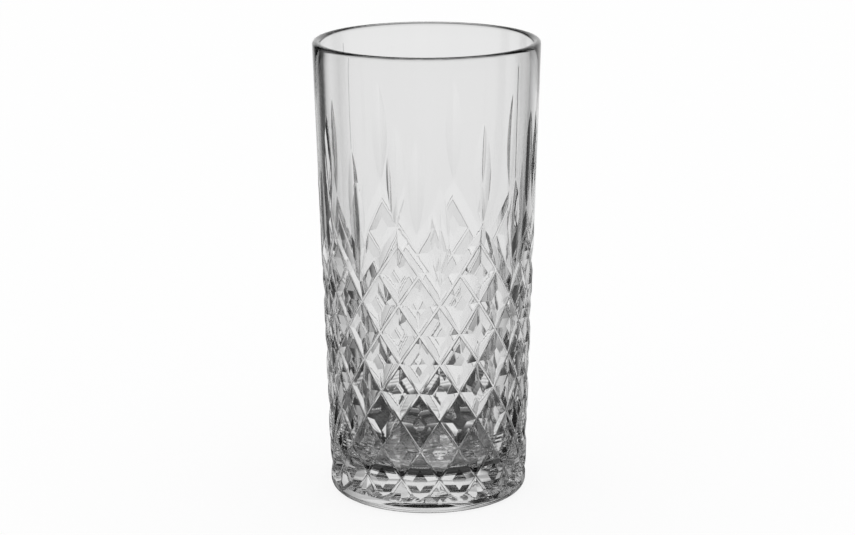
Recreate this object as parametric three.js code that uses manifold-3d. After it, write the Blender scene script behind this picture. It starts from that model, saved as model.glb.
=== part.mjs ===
// Tall pressed-glass tumbler: one piece of clear glass with a heavy base, a field of V-cut diamonds that
// ends in a zigzag, and an upright leaf cut over every tip and every hollow of the zigzag.
// Millimetres, +Z up. The origin is the centre of the base, on the surface that the glass stands on.
import * as THREE from "three";
import { mergeVertices } from "three/addons/utils/BufferGeometryUtils.js";
import Module from "manifold-3d";

const wasm = await Module();
wasm.setup();

// Body
const HEIGHT = 150;
const RIM_DIAMETER = 73.4;
const BASE_DIAMETER = 64.6; // of the outer cone where it would meet the surface below
const RIM_WALL = 2.7;
const FLOOR_WALL = 5; // beside the cavity's floor, before the cuts
const FLOOR_THICKNESS = 10;
const HEEL_RADIUS = 2.8;
const CAVITY_RADIUS = 8; // between the cavity's wall and its floor
const PUNT_DIAMETER = 46; // shallow hollow under the base, inside the ring that the glass stands on
const PUNT_DEPTH = 0.5;

// Cut pattern, from the lip down to the heel
const LIP_BAND = 21; // plain band from the rim down to the highest leaves
const LEAF_LENGTH = 32.8;
const ZIGZAG_TIPS = 8;
const DIAMOND_ROWS = 4; // under a tip of the zigzag
const DIAMOND_FLAT = 7.3; // upright length of the flat that the grooves leave on a diamond
const CUT_DEPTH = 1.1;
const GROOVE_FLAT = 0.8; // width of a groove's bottom
const LOWEST_CROSSING = 11.9; // height of the lowest row where grooves cross
const HEEL_BAND = 4.4; // plain band below the grooves
const GROOVE_RUNOUT = 2.6; // height over which a groove comes back to the surface above the heel band

// Fineness of the round forms
const FACES_PER_DIAMOND = 4;
const GROOVE_STEPS = 1; // from one crossing to the next
const ARC_STEP = Math.PI / 8;
const LEAST_ARC_STEPS = 3;
const WHEEL_FACES = 120;

const CUTTER_STAND = 0.8; // how far a cutter stands proud of the wall that it cuts
const MERGE_DISTANCE = 1e-4;

// A groove spreads over half of what its diamonds don't keep as flats, above and below its bottom line.
const DIAMONDS_AROUND = 2 * ZIGZAG_TIPS;
const PITCH = (2 * Math.PI) / DIAMONDS_AROUND;
const leafFoot = HEIGHT - LIP_BAND - LEAF_LENGTH;
const diamondHeight = (leafFoot - LOWEST_CROSSING + DIAMOND_FLAT / 2) / (DIAMOND_ROWS + 1 / 2);
const grooveReach = (diamondHeight - DIAMOND_FLAT) / 2;
const tipHeight = leafFoot - grooveReach;

// Walls: radius against height
const slope = (lowRadius, highRadius, rise) => (highRadius - lowRadius) / rise;
const outerSlope = slope(BASE_DIAMETER / 2, RIM_DIAMETER / 2, HEIGHT);
const outerRadius = (z) => BASE_DIAMETER / 2 + outerSlope * z;
const floorRadius = outerRadius(FLOOR_THICKNESS) - FLOOR_WALL;
const innerSlope = slope(floorRadius, RIM_DIAMETER / 2 - RIM_WALL, HEIGHT - FLOOR_THICKNESS);
const innerRadius = (z) => floorRadius + innerSlope * (z - FLOOR_THICKNESS);

// Solids and meshes

function solidFrom(geometry) {
  const bare = geometry.clone();
  bare.deleteAttribute("normal");
  bare.deleteAttribute("uv");
  const merged = mergeVertices(bare, MERGE_DISTANCE);
  const triVerts = [];
  for (let i = 0; i < merged.index.count; i += 3) {
    const corners = [0, 1, 2].map((k) => merged.index.getX(i + k));
    if (new Set(corners).size === corners.length) {
      triVerts.push(...corners);
    }
  }
  const vertProperties = merged.attributes.position.array;
  return new wasm.Manifold(
    new wasm.Mesh({ numProp: 3, vertProperties, triVerts: new Uint32Array(triVerts) }),
  );
}

function geometryFrom(solid) {
  const { vertProperties, triVerts } = solid.getMesh();
  const shared = new THREE.BufferGeometry();
  shared.setAttribute("position", new THREE.BufferAttribute(vertProperties, 3));
  shared.setIndex(new THREE.BufferAttribute(triVerts, 1));
  const faceted = shared.toNonIndexed();
  faceted.computeVertexNormals();
  return faceted;
}

// Points of an arc in a profile. It runs clockwise where its end angle is the smaller one.
function arc(radius, x, y, from, to) {
  const steps = Math.max(LEAST_ARC_STEPS, Math.ceil(Math.abs(to - from) / ARC_STEP));
  return new THREE.EllipseCurve(x, y, radius, radius, from, to, to < from).getPoints(steps);
}

// A profile of radius against height, turned round the Z axis.
function turned(profile, faces) {
  return new THREE.LatheGeometry(profile, faces).rotateX(Math.PI / 2);
}

// A skin over rings that have the same number of points each, closed with flat ends.
// A face between two rings is split along its shorter diagonal, so that mirrored shapes get mirrored faces.
// mirrored turns the faces over, for rings that run the other way round.
function lofted(rings, mirrored) {
  const size = rings[0].length;
  const last = rings.length - 1;
  const corners = [];
  const triangle = (a, b, c) => corners.push(...(mirrored ? [a, c, b] : [a, b, c]));
  for (let r = 0; r < last; r++) {
    for (let i = 0; i < size; i++) {
      const next = (i + 1) % size;
      const [a, b] = [rings[r][i], rings[r][next]];
      const [c, d] = [rings[r + 1][next], rings[r + 1][i]];
      if (a.distanceTo(c) < b.distanceTo(d)) {
        triangle(a, b, c);
        triangle(a, c, d);
      } else {
        triangle(a, b, d);
        triangle(b, c, d);
      }
    }
  }
  for (let i = 1; i + 1 < size; i++) {
    triangle(rings[0][0], rings[0][i + 1], rings[0][i]);
    triangle(rings[last][0], rings[last][i], rings[last][i + 1]);
  }
  return new THREE.BufferGeometry().setFromPoints(corners);
}

// Body: underside, outer wall, rim and cavity in one turned profile

function uncutBody() {
  const down = -Math.PI / 2;
  const outerLean = Math.atan(outerSlope);
  const innerLean = Math.atan(innerSlope);
  const puntRadius = PUNT_DIAMETER / 2;
  const puntSphere = (puntRadius ** 2 + PUNT_DEPTH ** 2) / (2 * PUNT_DEPTH);
  const puntCentre = PUNT_DEPTH - puntSphere;
  const heelEnd = HEEL_RADIUS * (1 - Math.sin(outerLean));
  const heelCentre = outerRadius(heelEnd) - HEEL_RADIUS * Math.cos(outerLean);
  const rimRound = RIM_WALL / 2;
  const cornerEnd = FLOOR_THICKNESS + CAVITY_RADIUS * (1 - Math.sin(innerLean));
  const cornerCentre = innerRadius(cornerEnd) - CAVITY_RADIUS * Math.cos(innerLean);
  const profile = [
    ...arc(puntSphere, 0, puntCentre, Math.PI / 2, Math.atan2(-puntCentre, puntRadius)),
    ...arc(HEEL_RADIUS, heelCentre, HEEL_RADIUS, down, -outerLean),
    ...arc(rimRound, RIM_DIAMETER / 2 - rimRound, HEIGHT - rimRound, -outerLean, Math.PI + innerLean),
    ...arc(CAVITY_RADIUS, cornerCentre, FLOOR_THICKNESS + CAVITY_RADIUS, -innerLean, down),
    new THREE.Vector2(0, FLOOR_THICKNESS),
  ];
  return solidFrom(turned(profile, DIAMONDS_AROUND * FACES_PER_DIAMOND));
}

// Grooves: a left-hand and a right-hand set that cross, and leave the diamonds between them.
// They have sloping sides and a narrow flat bottom.

// A place in the wall: angle round the axis from the front (-Y), height, and depth below the surface.
function inWall(angle, z, depth) {
  const radius = outerRadius(z) - depth;
  return new THREE.Vector3(radius * Math.sin(angle), -radius * Math.cos(angle), z);
}

// Sections of a groove that passes the lowest crossings at a column and climbs a number of half diamonds.
// It goes round by one pitch for each diamond, to the right where hand is 1 and to the left where it is -1.
function climb(hand, column, halfDiamonds) {
  const stepsPerDiamond = 2 * GROOVE_STEPS;
  const steepness = Math.atan2(diamondHeight, PITCH * outerRadius(HEIGHT / 2));
  const halfFlat = GROOVE_FLAT / 2 / Math.cos(steepness);
  const flare = grooveReach + ((grooveReach - halfFlat) * CUTTER_STAND) / CUT_DEPTH;
  const stepsBelow = Math.ceil((LOWEST_CROSSING / diamondHeight) * stepsPerDiamond);
  const rings = [];
  for (let step = -stepsBelow; step <= halfDiamonds * GROOVE_STEPS; step++) {
    const climbed = step / stepsPerDiamond;
    const angle = THREE.MathUtils.euclideanModulo(hand * (column + climbed), DIAMONDS_AROUND) * PITCH;
    const z = LOWEST_CROSSING + climbed * diamondHeight;
    rings.push([
      inWall(angle, z + halfFlat, CUT_DEPTH),
      inWall(angle, z + flare, -CUTTER_STAND),
      inWall(angle, z - flare, -CUTTER_STAND),
      inWall(angle, z - halfFlat, CUT_DEPTH),
    ]);
  }
  return rings;
}

// A groove that climbs to a tip of the zigzag and comes down again on the tip's other side.
function tipGroove(column) {
  const up = climb(1, column, 2 * DIAMOND_ROWS);
  const down = climb(-1, -column - 2 * DIAMOND_ROWS, 2 * DIAMOND_ROWS).reverse();
  return solidFrom(lofted([...up, ...down.slice(1)], false));
}

// A groove that stops half a diamond below a tip, at the zigzag's side.
function sideGroove(hand, column) {
  return solidFrom(lofted(climb(hand, column, 2 * DIAMOND_ROWS - 1), hand < 0));
}

function grooves() {
  const made = [];
  for (let column = 0; column < DIAMONDS_AROUND; column++) {
    const reachesTip = (column + DIAMOND_ROWS) % 2 === 1;
    if (reachesTip) {
      made.push(tipGroove(column));
    } else {
      made.push(sideGroove(1, column), sideGroove(-1, column));
    }
  }
  return wasm.Manifold.union(made);
}

// The room that the grooves may take: a sleeve above the heel band, with a ramp at its foot.
function grooveRoom() {
  const depth = CUT_DEPTH + CUTTER_STAND;
  const rampTop = HEEL_BAND + (GROOVE_RUNOUT * depth) / CUT_DEPTH;
  const inside = outerRadius(HEEL_BAND) - depth;
  const outside = Math.max(outerRadius(HEEL_BAND), outerRadius(HEIGHT)) + CUTTER_STAND;
  const profile = [
    new THREE.Vector2(inside, rampTop),
    new THREE.Vector2(outerRadius(HEEL_BAND), HEEL_BAND),
    new THREE.Vector2(outside, HEEL_BAND),
    new THREE.Vector2(outside, HEIGHT),
    new THREE.Vector2(inside, HEIGHT),
    new THREE.Vector2(inside, rampTop),
  ];
  return solidFrom(turned(profile, DIAMONDS_AROUND * FACES_PER_DIAMOND));
}

// Leaves: a large wheel with the grooves' V edge, sunk upright into the wall

function leaf(column, foot) {
  const lean = Math.atan(outerSlope);
  const halfLength = LEAF_LENGTH / 2;
  const wheelRadius = (halfLength ** 2 + CUT_DEPTH ** 2) / (2 * CUT_DEPTH);
  const diamondWidth = PITCH * outerRadius(tipHeight);
  const halfWidth = grooveReach * Math.cos(Math.atan2(diamondHeight, diamondWidth));
  const edge = CUT_DEPTH + CUTTER_STAND;
  const halfThickness = (halfWidth * edge) / CUT_DEPTH;
  const profile = [
    new THREE.Vector2(0, -halfThickness),
    new THREE.Vector2(wheelRadius - edge, -halfThickness),
    new THREE.Vector2(wheelRadius, 0),
    new THREE.Vector2(wheelRadius - edge, halfThickness),
    new THREE.Vector2(0, halfThickness),
  ];
  const middle = foot + halfLength * Math.cos(lean);
  const wheel = turned(profile, WHEEL_FACES)
    .rotateY(Math.PI / 2)
    .translate(0, CUT_DEPTH - wheelRadius, 0)
    .rotateX(lean)
    .translate(0, -outerRadius(middle), middle)
    .rotateZ(column * PITCH);
  return solidFrom(wheel);
}

function leaves() {
  const made = [];
  for (let column = 0; column < DIAMONDS_AROUND; column++) {
    const overTip = column % 2 === 1;
    made.push(leaf(column, overTip ? leafFoot : leafFoot - diamondHeight));
  }
  return wasm.Manifold.union(made);
}

const clearGlass = new THREE.MeshStandardMaterial({
  name: "clear_glass",
  color: 0xe6e8e8,
  roughness: 0.03,
  metalness: 0,
  transparent: true,
  opacity: 0.35,
});

function glassBody() {
  const cuts = grooves().intersect(grooveRoom()).add(leaves());
  const mesh = new THREE.Mesh(geometryFrom(uncutBody().subtract(cuts)), clearGlass);
  mesh.name = "glass_body";
  return mesh;
}

const tumbler = new THREE.Group();
tumbler.name = "tall_tumbler";
tumbler.add(glassBody());

export default tumbler;
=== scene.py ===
"""Tall pressed-glass tumbler on a white table, seen as in its photograph.

The glass is one piece: a turned body with two mould seams, whose outside is cut with a left-hand and a
right-hand set of helical V grooves, and with upright leaf cuts over the zigzag where the grooves end.
Lengths are in metres.

The camera sees a plain white table and background. Rays through the glass or off it see a studio in their
place: a lit sweep, dark flags and a table that glows with painted light, painted reflection and painted
shadow.
"""
import math

import bmesh
import bpy
from mathutils import Matrix, Vector, noise

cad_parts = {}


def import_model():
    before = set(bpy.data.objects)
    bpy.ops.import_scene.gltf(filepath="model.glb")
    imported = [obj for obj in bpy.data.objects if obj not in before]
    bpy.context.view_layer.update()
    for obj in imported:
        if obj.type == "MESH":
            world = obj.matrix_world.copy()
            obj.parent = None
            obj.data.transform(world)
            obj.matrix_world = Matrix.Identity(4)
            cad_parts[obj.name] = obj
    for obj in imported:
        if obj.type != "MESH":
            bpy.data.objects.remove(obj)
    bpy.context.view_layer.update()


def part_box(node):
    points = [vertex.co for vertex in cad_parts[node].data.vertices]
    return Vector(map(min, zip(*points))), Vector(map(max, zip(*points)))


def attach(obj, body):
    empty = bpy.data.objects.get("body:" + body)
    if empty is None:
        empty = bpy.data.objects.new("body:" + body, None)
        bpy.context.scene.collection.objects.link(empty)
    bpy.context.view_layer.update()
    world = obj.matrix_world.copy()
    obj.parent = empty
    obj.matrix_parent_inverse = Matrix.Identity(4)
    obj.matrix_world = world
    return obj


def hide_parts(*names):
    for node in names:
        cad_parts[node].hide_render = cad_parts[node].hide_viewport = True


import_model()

MM = 0.001
FULL_TURN = 2 * math.pi

# Body of the glass
_, GLASS_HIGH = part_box("glass_body")
HEIGHT = GLASS_HIGH.z
RIM_RADIUS = GLASS_HIGH.x
BASE_RADIUS = 32.3 * MM
RIM_WALL = 2.7 * MM
RIM_ROUND = RIM_WALL * 0.495
FLOOR_WALL = 5.0 * MM
FLOOR_HEIGHT = 10.0 * MM
HEEL_ROUND = 2.8 * MM
CAVITY_ROUND = 8.0 * MM

# Hollow under the base
PUNT_RADIUS = 23.0 * MM
PUNT_DEPTH = 0.5 * MM
PUNT_FLAT = PUNT_RADIUS * 0.55
PUNT_SHOULDER_ROUND = PUNT_RADIUS * 0.4
PUNT_EDGE_ROUND = 1.5 * MM

# Cut pattern
LIP_BAND = 21.0 * MM
LEAF_LENGTH = 32.8 * MM
LEAF_ROUND = 0.4 * MM
LEAF_SWEEP = math.radians(14)
ZIGZAG_TIPS = 8
DIAMOND_ROWS = 4
DIAMOND_FLAT = 7.3 * MM
CUT_DEPTH = 1.1 * MM
CHANNEL_WIDTH = 1.1 * MM
CHANNEL_DEPTH = 0.18 * MM
CHANNEL_ROUND = 0.15 * MM
CHANNEL_FOOT_SHARE = 0.6
LOWEST_CROSSING = 11.9 * MM
HEEL_BAND = 4.4 * MM
GROOVE_RUNOUT = 2.6 * MM
CUTTER_STAND = 0.8 * MM

# Unevenness that pressing leaves
RIPPLE_LENGTH = 2.6 * MM
RIPPLE_HEIGHT = 0.05 * MM
RIPPLE_DRIFT = 12.0 * MM
RIPPLE_TOP = 27.0 * MM
WALL_RIPPLE_LENGTH = 1.35 * MM
WALL_RIPPLE_HEIGHT = 0.012 * MM
WALL_RIPPLE_DRIFT = 9.0 * MM
WALL_RIPPLE_WARP = 1.0
WALL_RIPPLE_FOOT = FLOOR_HEIGHT + CAVITY_ROUND * 0.8
WALL_RIPPLE_START = 8
WALL_RIPPLE_END = 2.5
BASE_WAVE_LENGTH = 5.0 * MM
BASE_WAVE_HEIGHT = 0.03 * MM
BASE_WAVE_FADE = 0.2

# Mould seams
SEAM_RADIUS = 0.25 * MM
SEAM_STAND = 0.09 * MM
SEAM_TURN = math.radians(45)
SEAM_TOP = 145.0 * MM
SEAM_FOOT = 2.9 * MM

# Fineness
FACES_AROUND = 224
OUTER_WALL_CUTS = 36
INNER_WALL_CUTS = 6
LOWER_WALL_CUTS = 56
FLOOR_CUTS = 52
UNDERSIDE_STEP = 1.0 * MM
GROOVE_STEPS = 8
LEAF_STEPS = 48
SEAM_FACES = 16
ROUND_SEGMENTS = 10
CHANNEL_SEGMENTS = 3
LEAF_SEGMENTS = 6
MERGE_GAP = 0.002 * MM
AXIS_GAP = 0.001 * MM
LEVEL_GAP = 0.01 * MM
WALL_GAP = 0.2 * MM
SHARP_ANGLE = math.radians(11)

DIAMONDS_AROUND = 2 * ZIGZAG_TIPS
PITCH = FULL_TURN / DIAMONDS_AROUND
LEAF_FOOT = HEIGHT - LIP_BAND - LEAF_LENGTH
DIAMOND_HEIGHT = (LEAF_FOOT - LOWEST_CROSSING + DIAMOND_FLAT / 2) / (DIAMOND_ROWS + 0.5)
GROOVE_REACH = (DIAMOND_HEIGHT - DIAMOND_FLAT) / 2
TIP_HEIGHT = LEAF_FOOT - GROOVE_REACH
WALL_SLOPE = (RIM_RADIUS - BASE_RADIUS) / HEIGHT


def wall_radius(z):
    return BASE_RADIUS + WALL_SLOPE * z


def cavity_radius(z):
    foot = wall_radius(FLOOR_HEIGHT) - FLOOR_WALL
    return foot + (RIM_RADIUS - RIM_WALL - foot) * (z - FLOOR_HEIGHT) / (HEIGHT - FLOOR_HEIGHT)


# Working with meshes

def new_piece(name, bm):
    mesh = bpy.data.meshes.new(name)
    bm.to_mesh(mesh)
    bm.free()
    piece = bpy.data.objects.new(name, mesh)
    bpy.context.scene.collection.objects.link(piece)
    return piece


def add_part(bm, part):
    """Adds one mesh in the making to another, and ends the first."""
    mesh = bpy.data.meshes.new("cutter_part")
    part.to_mesh(mesh)
    part.free()
    bm.from_mesh(mesh)
    bpy.data.meshes.remove(mesh)


def close_up(bm):
    bmesh.ops.remove_doubles(bm, verts=bm.verts, dist=MERGE_GAP)
    bmesh.ops.recalc_face_normals(bm, faces=bm.faces)


def outline(bm, points):
    """A filled outline in the upright plane through the axis, on the -Y side: (radius, height) pairs."""
    corners = [bm.verts.new((0, -radius, z)) for radius, z in points]
    bm.faces.new(corners)
    return corners


def round_corner(bm, corner, size, segments=ROUND_SEGMENTS):
    bmesh.ops.bevel(bm, geom=[corner], offset=size, offset_type="OFFSET", segments=segments,
                    profile=0.5, affect="VERTICES", material=-1)


def turn_outline(bm, steps):
    """Turns the outline's edges, without its fill and its edge on the axis, once round the Z axis."""
    bmesh.ops.delete(bm, geom=bm.faces[:], context="FACES_ONLY")
    on_axis = [e for e in bm.edges if all(abs(v.co.y) < AXIS_GAP for v in e.verts)]
    bmesh.ops.delete(bm, geom=on_axis, context="EDGES")
    bmesh.ops.spin(bm, geom=bm.verts[:] + bm.edges[:], cent=(0, 0, 0), axis=(0, 0, 1), dvec=(0, 0, 0),
                   angle=FULL_TURN, steps=steps, use_merge=True, use_duplicate=False)
    close_up(bm)


def turn_about(bm, angle, axis, cent=(0, 0, 0)):
    bmesh.ops.rotate(bm, verts=bm.verts, cent=cent, matrix=Matrix.Rotation(angle, 3, axis))


def repeat_around(bm, copies):
    geom = bm.verts[:] + bm.edges[:] + bm.faces[:]
    bmesh.ops.spin(bm, geom=geom, cent=(0, 0, 0), axis=(0, 0, 1), dvec=(0, 0, 0),
                   angle=FULL_TURN * (copies - 1) / copies, steps=copies - 1, use_duplicate=True)


def carve(piece, cutter, operation="DIFFERENCE"):
    """Cuts piece with cutter for good, or joins them, and clears the cutter away."""
    cut = piece.modifiers.new("cut", "BOOLEAN")
    cut.operation = operation
    cut.solver = "MANIFOLD"
    cut.object = cutter
    bpy.context.view_layer.update()
    depsgraph = bpy.context.evaluated_depsgraph_get()
    carved = bpy.data.meshes.new_from_object(piece.evaluated_get(depsgraph))
    piece.modifiers.remove(cut)
    uncut = piece.data
    piece.data = carved
    carved.name = piece.name
    bpy.data.meshes.remove(uncut)
    bpy.data.objects.remove(cutter)


# Glass

def turned_body():
    bm = bmesh.new()
    corners = outline(bm, [
        (0, PUNT_DEPTH),
        (PUNT_FLAT, PUNT_DEPTH),
        (PUNT_RADIUS, 0),
        (BASE_RADIUS, 0),
        (RIM_RADIUS, HEIGHT),
        (RIM_RADIUS - RIM_WALL, HEIGHT),
        (cavity_radius(RIPPLE_TOP), RIPPLE_TOP),
        (cavity_radius(FLOOR_HEIGHT), FLOOR_HEIGHT),
        (0, FLOOR_HEIGHT),
    ])
    _, punt_shoulder, punt_edge, heel, rim_out, rim_in, ripple_top, cavity_corner, _ = corners
    round_corner(bm, punt_shoulder, PUNT_SHOULDER_ROUND)
    round_corner(bm, punt_edge, PUNT_EDGE_ROUND)
    round_corner(bm, heel, HEEL_ROUND)
    round_corner(bm, rim_out, RIM_ROUND)
    round_corner(bm, rim_in, RIM_ROUND)
    round_corner(bm, cavity_corner, CAVITY_ROUND)
    bmesh.ops.delete(bm, geom=bm.faces[:], context="FACES_ONLY")
    inner_wall, outer_wall = sorted(bm.edges, key=lambda e: e.calc_length())[-2:]
    lower_wall = min(ripple_top.link_edges, key=lambda e: sum(v.co.z for v in e.verts))
    floor_line = [e for e in bm.edges if all(abs(v.co.z - FLOOR_HEIGHT) < LEVEL_GAP for v in e.verts)]
    bmesh.ops.subdivide_edges(bm, edges=[outer_wall], cuts=OUTER_WALL_CUTS)
    bmesh.ops.subdivide_edges(bm, edges=[inner_wall], cuts=INNER_WALL_CUTS)
    bmesh.ops.subdivide_edges(bm, edges=[lower_wall], cuts=LOWER_WALL_CUTS)
    bmesh.ops.subdivide_edges(bm, edges=floor_line, cuts=FLOOR_CUTS)
    underside = [e for e in bm.edges if all(in_punt(v.co.z, -v.co.y) for v in e.verts)]
    for edge in underside:
        cuts = int(edge.calc_length() / UNDERSIDE_STEP)
        if cuts:
            bmesh.ops.subdivide_edges(bm, edges=[edge], cuts=cuts)
    turn_outline(bm, FACES_AROUND)
    ripple_floor(bm)
    ripple_wall(bm)
    wave_underside(bm)
    return new_piece("tumbler_glass", bm)


def in_punt(z, radius):
    return z < PUNT_DEPTH * 1.01 and radius < PUNT_RADIUS


def wave_underside(bm):
    """Leaves the hollow under the base uneven, as the mould does, and the ring round it flat."""
    for vert in bm.verts:
        radius = math.hypot(vert.co.x, vert.co.y)
        if in_punt(vert.co.z, radius):
            fade = min(1, vert.co.z / (BASE_WAVE_FADE * PUNT_DEPTH))
            wave = noise.noise(vert.co / BASE_WAVE_LENGTH)
            vert.co.z = max(0, vert.co.z + BASE_WAVE_HEIGHT * fade * wave)


def ripple_floor(bm):
    """Presses faint uneven rings, left by the plunger, into the floor inside the glass."""
    for vert in bm.verts:
        radius = math.hypot(vert.co.x, vert.co.y)
        if abs(vert.co.z - FLOOR_HEIGHT) < LEVEL_GAP and radius > LEVEL_GAP:
            drift = noise.noise(vert.co / RIPPLE_DRIFT)
            wave = math.sin(FULL_TURN * radius / RIPPLE_LENGTH + FULL_TURN * drift)
            vert.co.z += RIPPLE_HEIGHT * wave * min(1, radius / RIPPLE_LENGTH)


def ripple_wall(bm):
    """Presses the same unevenness into the foot of the wall inside, where it fades towards the top."""
    foot = WALL_RIPPLE_FOOT
    for vert in bm.verts:
        radius = math.hypot(vert.co.x, vert.co.y)
        if foot < vert.co.z < RIPPLE_TOP and abs(radius - cavity_radius(vert.co.z)) < WALL_GAP:
            rise = (vert.co.z - foot) / (RIPPLE_TOP - foot)
            fade = min(1, WALL_RIPPLE_START * rise, WALL_RIPPLE_END * (1 - rise))
            drift = noise.noise(vert.co / WALL_RIPPLE_DRIFT)
            phase = FULL_TURN * vert.co.z / WALL_RIPPLE_LENGTH
            wave = math.sin(phase + FULL_TURN * WALL_RIPPLE_WARP * drift)
            scale = 1 + WALL_RIPPLE_HEIGHT * fade * wave / radius
            vert.co.x *= scale
            vert.co.y *= scale


def mould_seams():
    """The two thin upright ridges where the halves of the mould met."""
    bm = bmesh.new()
    lean = math.atan(WALL_SLOPE)
    middle = (SEAM_FOOT + SEAM_TOP) / 2
    bmesh.ops.create_cone(bm, cap_ends=True, segments=SEAM_FACES, radius1=SEAM_RADIUS, radius2=SEAM_RADIUS,
                          depth=(SEAM_TOP - SEAM_FOOT) / math.cos(lean))
    turn_about(bm, lean, "X")
    out = wall_radius(middle) + SEAM_STAND - SEAM_RADIUS
    bmesh.ops.translate(bm, verts=bm.verts, vec=(0, -out, middle))
    turn_about(bm, SEAM_TURN, "Z")
    repeat_around(bm, 2)
    bmesh.ops.recalc_face_normals(bm, faces=bm.faces)
    return new_piece("mould_seams", bm)


def groove_set(hand):
    """All grooves that climb one way: to the right where hand is 1, to the left where it is -1."""
    bm = bmesh.new()
    steps_per_diamond = 2 * GROOVE_STEPS
    turn = hand * PITCH / steps_per_diamond
    rise = DIAMOND_HEIGHT / steps_per_diamond
    steps_below = math.ceil(LOWEST_CROSSING / rise)
    middle_radius = wall_radius(HEIGHT / 2)
    steepness = math.atan2(DIAMOND_HEIGHT, PITCH * middle_radius)
    shoulder = CHANNEL_WIDTH / 2 / math.cos(steepness)
    channel_foot = shoulder * CHANNEL_FOOT_SHARE
    flank_depth = CUT_DEPTH - CHANNEL_DEPTH
    flare = GROOVE_REACH + (GROOVE_REACH - shoulder) * CUTTER_STAND / flank_depth
    start = LOWEST_CROSSING - steps_below * rise
    for column, half_diamonds in ((1, 2 * DIAMOND_ROWS), (0, 2 * DIAMOND_ROWS - 1)):
        one = bmesh.new()
        corners = outline(one, [
            (middle_radius - flank_depth, start + shoulder),
            (middle_radius + CUTTER_STAND, start + flare),
            (middle_radius + CUTTER_STAND, start - flare),
            (middle_radius - flank_depth, start - shoulder),
            (middle_radius - CUT_DEPTH, start - channel_foot),
            (middle_radius - CUT_DEPTH, start + channel_foot),
        ])
        for corner in corners[4:]:
            round_corner(one, corner, CHANNEL_ROUND, CHANNEL_SEGMENTS)
        turn_about(one, column * PITCH - steps_below * turn, "Z")
        steps = steps_below + half_diamonds * GROOVE_STEPS
        bmesh.ops.spin(one, geom=one.verts[:] + one.edges[:] + one.faces[:], cent=(0, 0, 0), axis=(0, 0, 1),
                       dvec=(0, 0, rise), angle=turn * steps, steps=steps, use_duplicate=False)
        repeat_around(one, ZIGZAG_TIPS)
        add_part(bm, one)
    for vert in bm.verts:
        flat = Vector((vert.co.x, vert.co.y))
        scale = (wall_radius(vert.co.z) + flat.length - middle_radius) / flat.length
        vert.co.x *= scale
        vert.co.y *= scale
    bmesh.ops.recalc_face_normals(bm, faces=bm.faces)
    return new_piece("groove_cutter", bm)


def groove_room():
    """The ring that the grooves keep to, whose foot slopes so that they run out over the heel band."""
    bm = bmesh.new()
    depth = CUT_DEPTH + CUTTER_STAND
    ramp_top = HEEL_BAND + GROOVE_RUNOUT * depth / CUT_DEPTH
    inside = wall_radius(HEEL_BAND) - depth
    outside = RIM_RADIUS + 2 * CUTTER_STAND
    outline(bm, [
        (inside, ramp_top),
        (wall_radius(HEEL_BAND), HEEL_BAND),
        (outside, HEEL_BAND),
        (outside, HEIGHT),
        (inside, HEIGHT),
    ])
    turn_outline(bm, FACES_AROUND)
    return new_piece("groove_room", bm)


def leaf_set():
    """The rims of the V-edged wheels that cut the leaves, over the tips and the hollows of the zigzag."""
    bm = bmesh.new()
    lean = math.atan(WALL_SLOPE)
    wheel_radius = ((LEAF_LENGTH / 2) ** 2 + CUT_DEPTH ** 2) / (2 * CUT_DEPTH)
    diamond_width = PITCH * wall_radius(TIP_HEIGHT)
    half_width = GROOVE_REACH * math.cos(math.atan2(DIAMOND_HEIGHT, diamond_width))
    edge = CUT_DEPTH + CUTTER_STAND
    half_thickness = half_width * edge / CUT_DEPTH
    for foot, column in ((LEAF_FOOT, 1), (LEAF_FOOT - DIAMOND_HEIGHT, 0)):
        one = bmesh.new()
        middle = foot + LEAF_LENGTH / 2 * math.cos(lean)
        hub = Vector((0, -wheel_radius + CUT_DEPTH, 0))
        corners = [
            one.verts.new(hub + Vector((0, wheel_radius, 0))),
            one.verts.new(hub + Vector((half_thickness, wheel_radius - edge, 0))),
            one.verts.new(hub + Vector((-half_thickness, wheel_radius - edge, 0))),
        ]
        one.faces.new(corners)
        round_corner(one, corners[0], LEAF_ROUND, LEAF_SEGMENTS)
        turn_about(one, -LEAF_SWEEP, "X", hub)
        bmesh.ops.spin(one, geom=one.verts[:] + one.edges[:] + one.faces[:], cent=hub, axis=(1, 0, 0),
                       dvec=(0, 0, 0), angle=2 * LEAF_SWEEP, steps=LEAF_STEPS, use_duplicate=False)
        turn_about(one, lean, "X")
        bmesh.ops.translate(one, verts=one.verts, vec=(0, -wall_radius(middle), middle))
        turn_about(one, column * PITCH, "Z")
        repeat_around(one, ZIGZAG_TIPS)
        add_part(bm, one)
    bmesh.ops.recalc_face_normals(bm, faces=bm.faces)
    return new_piece("leaf_cutter", bm)


def drop_flakes(mesh):
    """Clears away the flakes without thickness that the cuts leave: pairs of faces on the same corners."""
    bm = bmesh.new()
    bm.from_mesh(mesh)
    pairs = {}
    for face in bm.faces:
        corners = frozenset(vert.index for vert in face.verts)
        pairs.setdefault(corners, []).append(face)
    flakes = [face for faces in pairs.values() if len(faces) > 1 for face in faces]
    bmesh.ops.delete(bm, geom=flakes, context="FACES")
    bm.to_mesh(mesh)
    bm.free()


def tumbler_glass():
    glass = turned_body()
    carve(glass, mould_seams(), "UNION")
    for hand in (1, -1):
        cutter = groove_set(hand)
        carve(cutter, groove_room(), "INTERSECT")
        carve(glass, cutter)
    carve(glass, leaf_set())
    mesh = glass.data
    drop_flakes(mesh)
    for polygon in mesh.polygons:
        polygon.use_smooth = True
    mesh.set_sharp_from_angle(angle=SHARP_ANGLE)
    return glass


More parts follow.
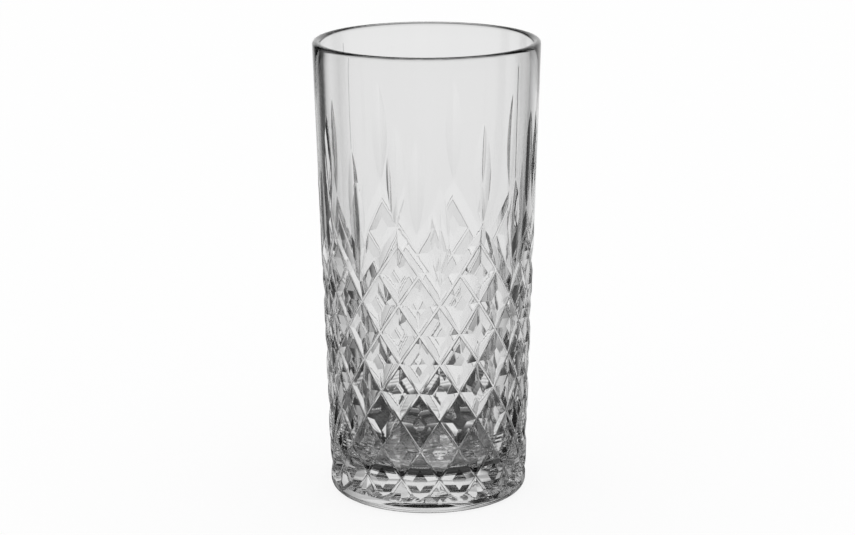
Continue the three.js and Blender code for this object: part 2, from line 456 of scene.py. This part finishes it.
def clear_glass():
    """Clear glass with a faint grey cast and a faint unevenness drawn out upwards."""
    material = bpy.data.materials.new("clear_glass")
    material.use_nodes = True
    nodes, links = material.node_tree.nodes, material.node_tree.links
    shader = nodes["Principled BSDF"]
    shader.inputs["Base Color"].default_value = (1, 1, 1, 1)
    shader.inputs["Roughness"].default_value = 0.0
    shader.inputs["IOR"].default_value = 1.52
    shader.inputs["Transmission Weight"].default_value = 1.0
    absorb = nodes.new("ShaderNodeVolumeAbsorption")
    absorb.inputs["Color"].default_value = (0.6, 0.6, 0.6, 1)
    absorb.inputs["Density"].default_value = 10.0
    links.new(absorb.outputs["Volume"], nodes["Material Output"].inputs["Volume"])
    where = nodes.new("ShaderNodeTexCoord")
    drawn = nodes.new("ShaderNodeMapping")
    drawn.inputs["Scale"].default_value = (120, 120, 14)
    waves = nodes.new("ShaderNodeTexNoise")
    waves.inputs["Scale"].default_value = 1.0
    waves.inputs["Detail"].default_value = 2.0
    unevenness = nodes.new("ShaderNodeBump")
    unevenness.inputs["Strength"].default_value = 0.2
    unevenness.inputs["Distance"].default_value = 0.05 * MM
    links.new(where.outputs["Object"], drawn.inputs["Vector"])
    links.new(drawn.outputs["Vector"], waves.inputs["Vector"])
    links.new(waves.outputs["Fac"], unevenness.inputs["Height"])
    links.new(unevenness.outputs["Normal"], shader.inputs["Normal"])
    return material


glass = tumbler_glass()
glass.data.materials.clear()
glass.data.materials.append(clear_glass())
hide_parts("glass_body")
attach(glass, "root")


# Studio

CAMERA_TURN = math.radians(-6.6)
CAMERA_DISTANCE = 770.8 * MM
CAMERA_HEIGHT = 277.0 * MM
CAMERA_PITCH = 0.2571
CAMERA_ROLL = -0.0041
LENS = 102.35
SENSOR = 36.0

TABLE_REACH = 6
TABLE_GAP = 0.02 * MM
TABLE_OWN_WHITE = 0.85

# What the glass sees, by degrees to the right of the photo's line of sight: a lit sweep, flags, a front
COMPASS_LIGHT = [(-180, 0.7), (-140, 0.65), (-98, 0.65), (-90, 0.6), (-85, 0.04), (-76, 0.04), (-70, 0.7),
                 (-54, 0.65), (-47, 0.05), (-35, 0.03), (-31, 0.1), (-27, 0.6), (-20, 0.95), (-12, 1.0),
                 (25, 1.0), (33, 0.8), (42, 0.55), (50, 0.2), (56, 0.04), (66, 0.04), (73, 0.5), (84, 0.75),
                 (180, 0.75)]
# Painted shadow of the glass: share of the light painted on the table, by millimetres from the middle of the
# glass
TABLE_PAINTED_SHADOW = [(0, 0.95), (14, 0.95), (17, 0.04), (32, 0.04), (36, 0.4), (60, 0.75), (90, 1.0), (1000, 1.0)]
# Painted reflection of the table: emission levels that stand in for gloss, by degrees of the view down onto
# it, close to the glass and away from it
NEAR_PAINTED_REFLECTION = [(0, 0.95), (10, 0.95), (16, 0.92), (19, 0.7), (22, 0.25), (25, 0.05), (30, 0.03), (52, 0.03),
              (60, 0.6), (90, 0.8)]
FAR_PAINTED_REFLECTION = [(0, 0.88), (10, 0.84), (16, 0.79), (30, 0.7), (36, 0.4), (40, 0.12), (44, 0.12), (49, 0.6),
             (90, 0.8)]
# Share of the far painted reflection, by the same millimetres
FAR_SHARE = [(0, 0.0), (75, 0.0), (115, 1.0), (1000, 1.0)]
# Least painted light on every side of the table, by degrees of the view down onto it: the flags stand low
OVER_FLAGS = [(0, 0.0), (24, 0.0), (30, 0.7), (90, 0.8)]
# Light of the room by degrees above the table
SKY_LIGHT = [(0, 1.0), (20, 0.95), (28, 0.75), (36, 0.6), (44, 0.2), (52, 0.06), (90, 0.05)]


def camera():
    data = bpy.data.cameras.new("camera")
    data.sensor_width = SENSOR
    data.lens = LENS
    data.clip_start = 0.05
    data.clip_end = 50
    eye = bpy.data.objects.new("camera", data)
    turn = Matrix.Rotation(CAMERA_TURN, 4, "Z")
    place = Matrix.Translation((0, -CAMERA_DISTANCE, CAMERA_HEIGHT))
    aim = Matrix.Rotation(math.pi / 2 - CAMERA_PITCH, 4, "X")
    roll = Matrix.Rotation(CAMERA_ROLL, 4, "Z")
    eye.matrix_world = turn @ place @ aim @ roll
    bpy.context.scene.collection.objects.link(eye)
    bpy.context.scene.camera = eye


def math_node(tree, operation, *inputs):
    """One Math node, whose inputs are numbers or other nodes' outputs."""
    node = tree.nodes.new("ShaderNodeMath")
    node.operation = operation
    for socket, value in zip(node.inputs, inputs):
        if isinstance(value, bpy.types.NodeSocket):
            tree.links.new(value, socket)
        else:
            socket.default_value = value
    return node.outputs[0]


def in_degrees(tree, angle):
    return math_node(tree, "MULTIPLY", angle, math.degrees(1))


def level_ramp(tree, value, stops):
    """Grey levels between stops, each a value and its level."""
    first, last = stops[0][0], stops[-1][0]
    share = math_node(tree, "DIVIDE", math_node(tree, "SUBTRACT", value, first), last - first)
    ramp = tree.nodes.new("ShaderNodeValToRGB")
    elements = ramp.color_ramp.elements
    for element, (_, level) in zip(elements, (stops[0], stops[-1])):
        element.color = (level, level, level, 1)
    for place, level in stops[1:-1]:
        elements.new((place - first) / (last - first)).color = (level, level, level, 1)
    tree.links.new(share, ramp.inputs[0])
    return ramp.outputs["Color"]


def studio_axes(tree, vector):
    """A vector's parts to the studio's right, back and up. The studio is square to the photo's camera."""
    turn = tree.nodes.new("ShaderNodeMapping")
    turn.vector_type = "VECTOR"
    turn.inputs["Rotation"].default_value = (0, 0, -CAMERA_TURN)
    split = tree.nodes.new("ShaderNodeSeparateXYZ")
    tree.links.new(vector, turn.inputs["Vector"])
    tree.links.new(turn.outputs["Vector"], split.inputs[0])
    return split.outputs


def compass_light(tree, right, back):
    angle = in_degrees(tree, math_node(tree, "ARCTAN2", right, back))
    return level_ramp(tree, angle, COMPASS_LIGHT)


def seen_in_glass(tree):
    """1 for light that reaches the eye through the glass or off it, otherwise 0."""
    path = tree.nodes.new("ShaderNodeLightPath")
    return math_node(tree, "MAXIMUM", path.outputs["Is Transmission Ray"], path.outputs["Is Glossy Ray"])


def white_top(tree):
    """The table as the camera sees it: white, with the soft shadow of the glass."""
    paint = tree.nodes["Principled BSDF"]
    paint.inputs["Base Color"].default_value = (0.95, 0.95, 0.95, 1)
    paint.inputs["Roughness"].default_value = 0.9
    paint.inputs["Specular IOR Level"].default_value = 0.0
    white = tree.nodes.new("ShaderNodeEmission")
    plain = tree.nodes.new("ShaderNodeMixShader")
    plain.inputs[0].default_value = TABLE_OWN_WHITE
    tree.links.new(paint.outputs[0], plain.inputs[1])
    tree.links.new(white.outputs[0], plain.inputs[2])
    return plain.outputs[0]


def painted_light_top(tree):
    """The table as the glass sees it, a glow of painted light: the sweep's light, painted darkness towards
    the flags, a painted reflection and a painted shadow where the glass stands.
    """
    where = tree.nodes.new("ShaderNodeTexCoord")
    right, back, _ = studio_axes(tree, where.outputs["Object"])
    across = math_node(tree, "POWER", right, 2)
    away = math_node(tree, "POWER", back, 2)
    distance = math_node(tree, "SQRT", math_node(tree, "ADD", across, away))
    millimetres = math_node(tree, "DIVIDE", distance, MM)
    # Painted shadow: a dark ring where the glass stands, round a bright middle under the base
    painted_shadow = level_ramp(tree, millimetres, TABLE_PAINTED_SHADOW)
    far = level_ramp(tree, millimetres, FAR_SHARE)
    facing = tree.nodes.new("ShaderNodeLayerWeight").outputs["Facing"]
    slant = in_degrees(tree, math_node(tree, "ARCSINE", math_node(tree, "SUBTRACT", 1.0, facing)))
    # Painted reflection: the table's gloss is painted into its emission by the slant of the view
    painted_reflection = tree.nodes.new("ShaderNodeMix")
    tree.links.new(far, painted_reflection.inputs["Factor"])
    tree.links.new(level_ramp(tree, slant, NEAR_PAINTED_REFLECTION), painted_reflection.inputs["A"])
    tree.links.new(level_ramp(tree, slant, FAR_PAINTED_REFLECTION), painted_reflection.inputs["B"])
    # Painted light: the table glows with the sweep's light and the flags' darkness, times the painted shadow
    # and reflection
    painted_sweep = tree.nodes.new("ShaderNodeEmission")
    painted_light = math_node(tree, "MULTIPLY", painted_shadow, painted_reflection.outputs["Result"])
    tree.links.new(painted_light, painted_sweep.inputs["Color"])
    least_painted_light = level_ramp(tree, slant, OVER_FLAGS)
    strength = math_node(tree, "MAXIMUM", compass_light(tree, right, back), least_painted_light)
    tree.links.new(strength, painted_sweep.inputs["Strength"])
    return painted_sweep.outputs[0]


def table():
    bm = bmesh.new()
    bmesh.ops.create_grid(bm, x_segments=1, y_segments=1, size=TABLE_REACH)
    bmesh.ops.translate(bm, verts=bm.verts, vec=(0, 0, -TABLE_GAP))
    floor = new_piece("studio_table", bm)
    material = bpy.data.materials.new("white_table")
    material.use_nodes = True
    tree = material.node_tree
    shown = tree.nodes.new("ShaderNodeMixShader")
    tree.links.new(seen_in_glass(tree), shown.inputs[0])
    tree.links.new(white_top(tree), shown.inputs[1])
    tree.links.new(painted_light_top(tree), shown.inputs[2])
    tree.links.new(shown.outputs[0], tree.nodes["Material Output"].inputs["Surface"])
    floor.data.materials.append(material)


def world():
    """Plain white round the object. Through the glass, the lit sweep and the dark flags beside it show."""
    studio = bpy.data.worlds.new("studio")
    bpy.context.scene.world = studio
    studio.use_nodes = True
    tree = studio.node_tree
    where = tree.nodes.new("ShaderNodeTexCoord")
    right, back, up = studio_axes(tree, where.outputs["Generated"])
    height = in_degrees(tree, math_node(tree, "ARCSINE", up))
    light = level_ramp(tree, height, SKY_LIGHT)
    room = math_node(tree, "MULTIPLY", light, compass_light(tree, right, back))
    level = tree.nodes.new("ShaderNodeMix")
    level.inputs["A"].default_value = 1.0
    tree.links.new(seen_in_glass(tree), level.inputs["Factor"])
    tree.links.new(room, level.inputs["B"])
    tree.links.new(level.outputs["Result"], tree.nodes["Background"].inputs["Strength"])
    tree.nodes["Background"].inputs["Color"].default_value = (1, 1, 1, 1)


camera()
table()
world()

scene = bpy.context.scene
scene.view_settings.view_transform = "Standard"
scene.cycles.max_bounces = 24
scene.cycles.transmission_bounces = 24
scene.cycles.glossy_bounces = 12
